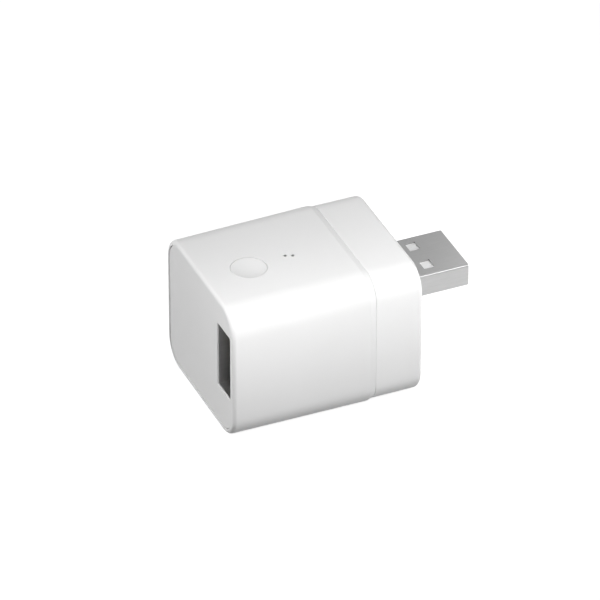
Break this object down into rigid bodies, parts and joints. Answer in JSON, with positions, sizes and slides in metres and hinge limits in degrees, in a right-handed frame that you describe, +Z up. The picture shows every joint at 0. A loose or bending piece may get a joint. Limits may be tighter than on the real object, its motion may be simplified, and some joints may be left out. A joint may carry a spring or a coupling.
{
  "type": "smart usb adapter",
  "caption": "White rounded-box USB power switch with a type A plug on one end, an upright type A socket in the other, a dished push button and pinhole indicators on top.",
  "frame": {"origin": "on the surface the adapter lies on, under the middle of its whole box", "axes": "+X along the body towards the tip of the plug, +Z up through the button, -Y towards the side nearest the socket"},
  "size_m": [0.0486, 0.0302, 0.0268],
  "materials": {
    "shell_white": "satin moulded white",
    "button_white": "satin moulded white",
    "guide_smoked": "smoked clear",
    "sleeve_steel": "nickel-plated sheet",
    "insulator_white": "moulded white",
    "insulator_black": "moulded black",
    "contact_gold": "gold-plated",
    "pin_tin": "tin-plated",
    "board_green": "solder mask",
    "relay_case": "moulded blue",
    "part_black": "moulded black",
    "can_aluminium": "drawn can",
    "ceramic": "fired ceramic",
    "lens_clear": "clear epoxy"
  },
  "bodies": {
    "housing": {"main_shell": "shell_white", "socket_end_plate": "shell_white", "plug_end_cap": "shell_white", "light_guide": "guide_smoked", "socket_shell": "sleeve_steel", "socket_insulator": "insulator_black", "socket_contacts": "contact_gold", "plug_shell": "sleeve_steel", "plug_insulator": "insulator_white", "plug_contacts": "contact_gold", "main_board": "board_green", "socket_board": "board_green", "link_header": "insulator_black", "link_pins": "pin_tin", "switch_base": "part_black", "switch_cover": "pin_tin", "switch_dome": "pin_tin", "switch_legs": "pin_tin", "indicator_leds": "lens_clear", "load_relay": "relay_case", "relay_driver": "part_black", "flyback_diode": "part_black", "voltage_regulator": "part_black", "capacitor_base": "part_black", "capacitor_can": "can_aluminium", "wireless_chip": "part_black", "crystal": "pin_tin", "shield_can": "pin_tin", "chip_antenna": "ceramic", "chip_resistors": "part_black", "chip_capacitors": "ceramic"},
    "button": {"button_cap": "button_white", "switch_plunger": "part_black"}
  },
  "joints": [
    {"name": "button_press", "type": "slide", "parent": "housing", "child": "button", "axis": [0, 0, -1], "range_m": [0, 0.0003], "stiffness_N_per_m": 3000}
  ]
}
